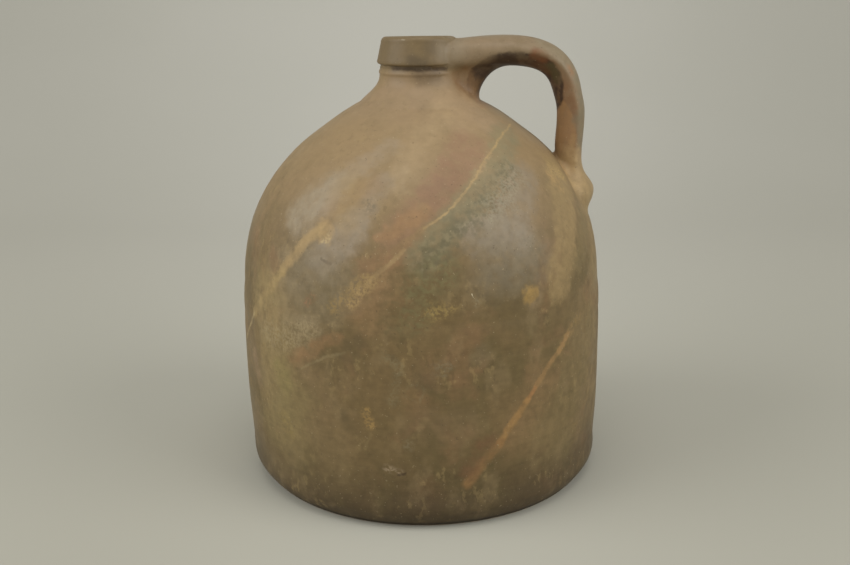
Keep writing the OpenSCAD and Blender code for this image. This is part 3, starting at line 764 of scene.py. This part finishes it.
def above_skin(co, line):
    """Height of each place above the thrown surface, and the way up from it in radius and height."""
    flat = np.stack([np.hypot(co[:, 0], co[:, 1]), co[:, 2]], 1)
    rise, way = np.full(len(co), 99.0), np.zeros((len(co), 2))
    for a, b in zip(line[:-1], line[1:]):
        share = np.clip(((flat - a) @ (b - a)) / ((b - a) @ (b - a)), 0, 1)
        gap = flat - (a + share[:, None] * (b - a))
        away = np.hypot(gap[:, 0], gap[:, 1])
        out = np.array([b[1] - a[1], a[0] - b[0]]) / np.hypot(*(b - a))
        closer = away < np.abs(rise)
        rise = np.where(closer, np.where(gap @ out >= 0, away, -away), rise)
        way[closer] = out
    return rise, way


finished(blend, "REMESH", mode="VOXEL", voxel_size=0.8 * mm)
co = places(blend)
to_strap, to_wad = gap_to(co, core[:len(pulled)]), gap_to(co, core[len(pulled):])
to_skin = np.abs(above_skin(co, skin)[0])
# Wet clay is smoothed where two pieces meet, and most in the valleys beside the wad and the foot.
near = np.sort(np.stack([to_strap, to_wad, to_skin], 1), axis=1)[:, 1]
soft = np.clip((7 - near) / 5.5, 0, 1)
inside_leg = np.clip((co[:, 2] - 168) / 3, 0, 1) * np.clip((84 - co[:, 0]) / 4, 0, 1) * (co[:, 0] > 60)
soft *= 1 - inside_leg * (co[:, 2] < 192)
valley = np.clip((14 - near) / 7, 0, 1) * np.clip((np.abs(co[:, 1]) - 3) / 4, 0, 1)
valley *= np.where(co[:, 2] > 192, np.clip((222 - co[:, 2]) / 4, 0, 1),
                   np.clip((171 - co[:, 2]) / 3, 0, 1))
for name, share, rounds in (("worked", soft, 60), ("valley", valley, 150)):
    worked = blend.vertex_groups.new(name=name)
    for i, w in enumerate(share):
        if w > 0.01:
            worked.add([i], float(w), "REPLACE")
    finished(blend, "SMOOTH", factor=0.5, iterations=rounds, vertex_group=name)
finished(blend, "SMOOTH", factor=0.5, iterations=2)
co = places(blend)
rise, way = above_skin(co, skin)
# The thin rim that is left is let into the skin below, so that it shows no step.
sunk = np.where(rise > 0, 0.05 + 0.22 * rise / 0.8 * np.exp(1 - rise / 0.8), 0.05 - rise) * (rise > -1)
spin = np.arctan2(co[:, 1], co[:, 0])
co[:, 0] -= sunk * way[:, 0] * np.cos(spin)
co[:, 1] -= sunk * way[:, 0] * np.sin(spin)
co[:, 2] -= sunk * way[:, 1]
move_to(blend, co)
under_skin = grown_line(skin, -0.4)
body_core = thrown("body_core", [(0, under_skin[0][1])] + list(under_skin) + [(0, under_skin[-1][1])],
                   steps=128)
joined(blend, body_core, "DIFFERENCE")
# The wad ends at its seat under the strap, and the pad ends a little above the shoulder.
seat_z = wad_top + 1.6
bpy.ops.mesh.primitive_cube_add(size=1, location=(23.2 * mm, 0, (seat_z - 20) * mm),
                                scale=(46.4 * mm, 60 * mm, 40 * mm))
seat_box = bpy.context.object
bpy.ops.object.transform_apply(location=True, rotation=True, scale=True)
pad_line = grown_line([p for p in dome if p[1] < 194], 1.2)
pad_body = thrown("pad_body", [(0, pad_line[0][1])] + list(pad_line) + [(0, pad_line[-1][1])], steps=128)
handle = {"upper_luting_wad": joined(copied(blend, "upper_luting_wad_pressed"), seat_box, "INTERSECT")}
joined(blend, seat_box, "DIFFERENCE")
handle["lower_luting_pad"] = joined(copied(blend, "lower_luting_pad_pressed"), pad_body, "INTERSECT")
handle["handle_strap"] = joined(blend, pad_body, "DIFFERENCE")
for lump in (body_core, seat_box, pad_body):
    bpy.data.objects.remove(lump)
for piece in handle.values():
    piece.vertex_groups.clear()
    piece.data.name = piece.name
    move_to(piece, from_the_wheel(places(piece)))
strap_runs_and_painted_shade = [
    ((140, 120, 93), 0.95, 20, 0.3, 0, [(34, 0, 231), (45, 0, 232), (60, 0, 230), (72, 0, 222),
                                        (79, 0, 209), (80, 0, 180)]),
    ((136, 102, 72), 0.90, 22.5, 0.04, 0, [(62, 0, 207), (64, 0, 198), (64, 0, 176)]),
    ((156, 121, 82), 0.90, 22, 0.04, 0, [(64, 0, 186), (64, 0, 168)]),
    # Dark red-brown under the arch, darkened further with painted shade where the arch faces away from the
    # lamps.
    ((66, 50, 40), 0.95, 21.9, 0.04, 0, [(45, 0, 211.5), (56, 0, 210.5)]),
    # Red-brown in the hollow between the web and the arch, darkened with painted shade.
    ((70, 53, 40), 0.90, 7, 0.3, 0, [(33, -6, 215), (38, -7, 220), (45, -8, 223)]),
    ((141, 120, 92), 0.85, 10, 0.4, 0, [(21, -20, 231), (30, -15, 232)]),
    ((92, 80, 53), 0.90, 3.6, 0.5, 0, [(68.5, -10, 220), (70.5, -10, 214)]),
    ((128, 82, 51), 0.90, 2.8, 0.7, 0, [(60, -12, 227.5), (64, -11.5, 225.5)]),
    ((104, 66, 40), 0.60, 4, 0.5, 0, [(62, -6, 222), (65, -6, 218)]),
    ((142, 128, 102), 0.70, 6, 0.4, 0, [(66, -6, 232), (74, -8, 228), (82, -8, 216)]),
    ((130, 118, 94), 0.80, 6, 0.4, 0, [(87, -8, 212), (88, -8, 200), (88, -8, 182)]),
    ((160, 114, 76), 0.75, 1.8, 0.8, 0, [(77, -10, 220), (79, -10, 217)]),
    ((164, 130, 88), 0.80, 1.8, 0.6, 1.6, [(81, -12, 184), (79, -12, 172)]),
    ((175, 147, 105), 0.92, 12.5, 0.4, 0, [(80, -14, 166), (88, -8, 156)]),
    # Painted shade in the crease where the leg meets the shoulder.
    ((78, 58, 40), 0.85, 0.7, 0.8, 0, [(71.5, -12, 175), (75, -13, 170)]),
]
strap_material = slip_finish_with_painted_light("strap_slip", [handle["handle_strap"], handle["upper_luting_wad"]],
                           strap_runs_and_painted_shade + slip_runs_and_painted_light)
dressed(handle["handle_strap"], "handle_strap", strap_material)
dressed(handle["upper_luting_wad"], "upper_luting_wad", strap_material)
dressed(handle["lower_luting_pad"], "lower_luting_pad", strap_material)


# Lining
# A thin coat of dark glossy glaze, poured into the jug, turned about and poured out again. It covers
# the floor and the walls and stops below the bore of the mouth.
lining_line = np.vstack([floor_rings[::-1], corner[::-1], inner_wall[::-1], upper_wall[1:], inner_dome,
                         throat[1:-2]])
lining_skin = grown_line(lining_line, -0.6)
lining_skin[0] = (0, lining_skin[0][1])
lining = thrown("inner_glaze_poured", list(lining_line) + list(lining_skin[::-1]))
move_to(lining, from_the_wheel(places(lining)))
glaze = bpy.data.materials.new("lining_glaze")
glaze.use_nodes = True
coat = glaze.node_tree
dark = coat.nodes["Principled BSDF"]
poured = shifted(coat, "SCALE", laid(coat, "TexCoord", {}).node.outputs["Object"])
poured.node.inputs[3].default_value = 1000
clouded = over(coat, fired((62, 42, 28)), fired((96, 66, 42)),
               between(coat, cloud(coat, poured, 18, 4), 0.35, 0.65))
coat.links.new(clouded, dark.inputs["Base Color"])
gloss = between(coat, cloud(coat, poured, 7, 3), 0.3, 0.7, 0.16, 0.3)
coat.links.new(gloss, dark.inputs["Roughness"])
dressed(lining, "inner_glaze", glaze)


# Studio
# Grey paper that hangs down behind and sweeps forward under the jug, lighter towards the back with painted
# light and darker to its sides with painted shade. A broad soft lamp stands on each side, a weaker one hangs
# above, and the room adds even light.
paper_line = [(-1.6, 0), (-0.9, 0), (-0.3, 0), (0.2, 0), (0.55, 0)]
paper_line += [(0.55 + 0.9 * math.sin(math.radians(a)), 0.9 - 0.9 * math.cos(math.radians(a)))
               for a in range(3, 91, 3)]
paper_line += [(1.45, 1.4), (1.45, 2.2)]
bpy.ops.object.select_all(action="DESELECT")
bpy.ops.mesh.primitive_plane_add(size=2, location=(0, paper_line[0][0], 0))
paper = bpy.context.object
paper.name = "grey_paper_and_painted_light"
bpy.ops.object.transform_apply(location=True, rotation=True, scale=True)
bpy.ops.object.mode_set(mode="EDIT")
bpy.ops.mesh.select_mode(type="EDGE")
bpy.ops.mesh.select_all(action="SELECT")
bpy.ops.transform.resize(value=(2.4, 0, 1))
bpy.ops.mesh.remove_doubles(threshold=0.0001)
for a, b in zip(paper_line, paper_line[1:]):
    bpy.ops.mesh.extrude_region_move(TRANSFORM_OT_translate={"value": (0, b[0] - a[0], b[1] - a[1])})
bpy.ops.mesh.select_all(action="SELECT")
bpy.ops.mesh.normals_make_consistent(inside=False)
bpy.ops.object.mode_set(mode="OBJECT")
bpy.ops.object.shade_smooth()
grey = bpy.data.materials.new("grey_paper_and_painted_light")
grey.use_nodes = True
pulp = grey.node_tree
matt = pulp.nodes["Principled BSDF"]
sheet = shifted(pulp, "SCALE", laid(pulp, "TexCoord", {}).node.outputs["Object"])
sheet.node.inputs[3].default_value = 1000
back = laid(pulp, "SeparateXYZ", {0: sheet}).node.outputs[1]
# Painted light: the paper is lighter towards the back.
paper_tone_and_light = over(pulp, fired((184, 181, 167)), fired((202, 199, 189)), between(pulp, back, -350, 1000))
blotches = between(pulp, cloud(pulp, sheet, 300, 1), 0.3, 0.8, 0.0, 0.2)
paper_tone_and_light = over(pulp, paper_tone_and_light, fired((186, 185, 172)), blotches)
# Painted shade: the paper darkens to the sides, over a span that widens towards the back.
aside = worked_out(pulp, "ABSOLUTE", back.node.outputs[0])
reach = worked_out(pulp, "MULTIPLY_ADD", back, 0.42, 236)
paper_tone_and_light = over(pulp, paper_tone_and_light, fired((162, 159, 146)), between(pulp, aside, 0.0, reach, 0.0, 0.48))
pulp.links.new(paper_tone_and_light, matt.inputs["Base Color"])
matt.inputs["Roughness"].default_value = 0.9
matt.inputs["Specular IOR Level"].default_value = 0.2
paper.data.materials.append(grey)
for name, place, size, watts in (("left_lamp", (-1.25, -0.45, 0.85), 1.3, 10.5),
                                 ("right_lamp", (1.2, -0.65, 0.9), 1.3, 10),
                                 ("top_lamp", (0, -0.4, 1.7), 1.2, 5.8)):
    bpy.ops.object.light_add(type="AREA", location=place)
    lamp = bpy.context.object
    lamp.name = name
    lamp.data.shape = "DISK"
    lamp.data.size = size
    lamp.data.energy = watts
    lamp.rotation_euler = (Vector((0, 0, 0.1)) - lamp.location).to_track_quat("-Z", "Y").to_euler()
room = bpy.data.worlds.new("room")
room.use_nodes = True
room.node_tree.nodes["Background"].inputs[0].default_value = (0.98, 1.0, 0.98, 1)
room.node_tree.nodes["Background"].inputs[1].default_value = 0.47
bpy.context.scene.world = room
